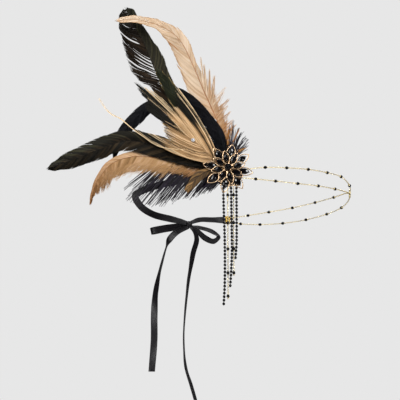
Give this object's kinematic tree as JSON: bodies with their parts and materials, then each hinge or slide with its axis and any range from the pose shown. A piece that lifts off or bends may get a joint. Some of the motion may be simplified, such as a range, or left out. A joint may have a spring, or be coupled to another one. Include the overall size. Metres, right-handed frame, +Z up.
{
  "type": "feather headband",
  "caption": "Worn headband loop of gold beaded chain and black satin ribbon tied in a bow, with a jewelled flower brooch, a fan of feathers and hanging bead strands on one side.",
  "frame": {"origin": "middle of the loop that goes round the head, at the height of the brooch's centre", "axes": "+Z up as worn, +X towards the wearer's front where the chain rows meet, -Y towards the side with the brooch and feathers"},
  "size_m": [0.2686, 0.1799, 0.3267],
  "materials": {
    "gold": "polished champagne gold plating",
    "jet": "polished faceted black glass",
    "crystal": "clear cut stone with a silvered back",
    "felt": "matt pressed felt",
    "green_black": "glossy green-black feather",
    "blue_black": "glossy blue-black feather",
    "peach": "soft peach feather",
    "golden": "soft golden feather",
    "ochre": "soft ochre feather",
    "down": "loose black down",
    "satin": "black satin ribbon"
  },
  "bodies": {
    "root": {"brooch_frame": "gold", "stone_outer_1": "jet", "stone_outer_2": "jet", "stone_outer_3": "jet", "stone_outer_4": "jet", "stone_outer_5": "jet", "stone_outer_6": "jet", "stone_outer_7": "jet", "stone_outer_8": "jet", "stone_inner_1": "jet", "stone_inner_2": "jet", "stone_inner_3": "jet", "stone_inner_4": "jet", "stone_inner_5": "jet", "stone_inner_6": "jet", "stone_inner_7": "jet", "stone_inner_8": "jet", "centre_stones": "jet", "felt_backing": "felt", "coque_tall": "green_black", "peach_tall": "peach", "coque_left": "green_black", "peach_left": "peach", "coque_sickle": "blue_black", "coque_back": "blue_black", "coque_small": "green_black", "golden_hackle": "golden", "ochre_hackle": "ochre", "black_fluff": "down", "black_tuft": "down", "feather_stone": "crystal", "bead_strand_1": "jet", "bead_strand_2": "jet", "bead_strand_3": "jet", "chain_strand_1": "gold", "chain_strand_2": "gold", "chain_upper_near": "gold", "chain_lower_near": "gold", "chain_upper_far": "gold", "chain_lower_far": "gold", "front_connector": "gold", "ribbon_clamp": "gold", "ribbon_band": "satin", "ribbon_far_band": "satin", "bow_loop_left": "satin", "bow_loop_right": "satin", "bow_knot": "satin", "ribbon_tail_left": "satin", "ribbon_tail_right": "satin"}
  },
  "joints": []
}
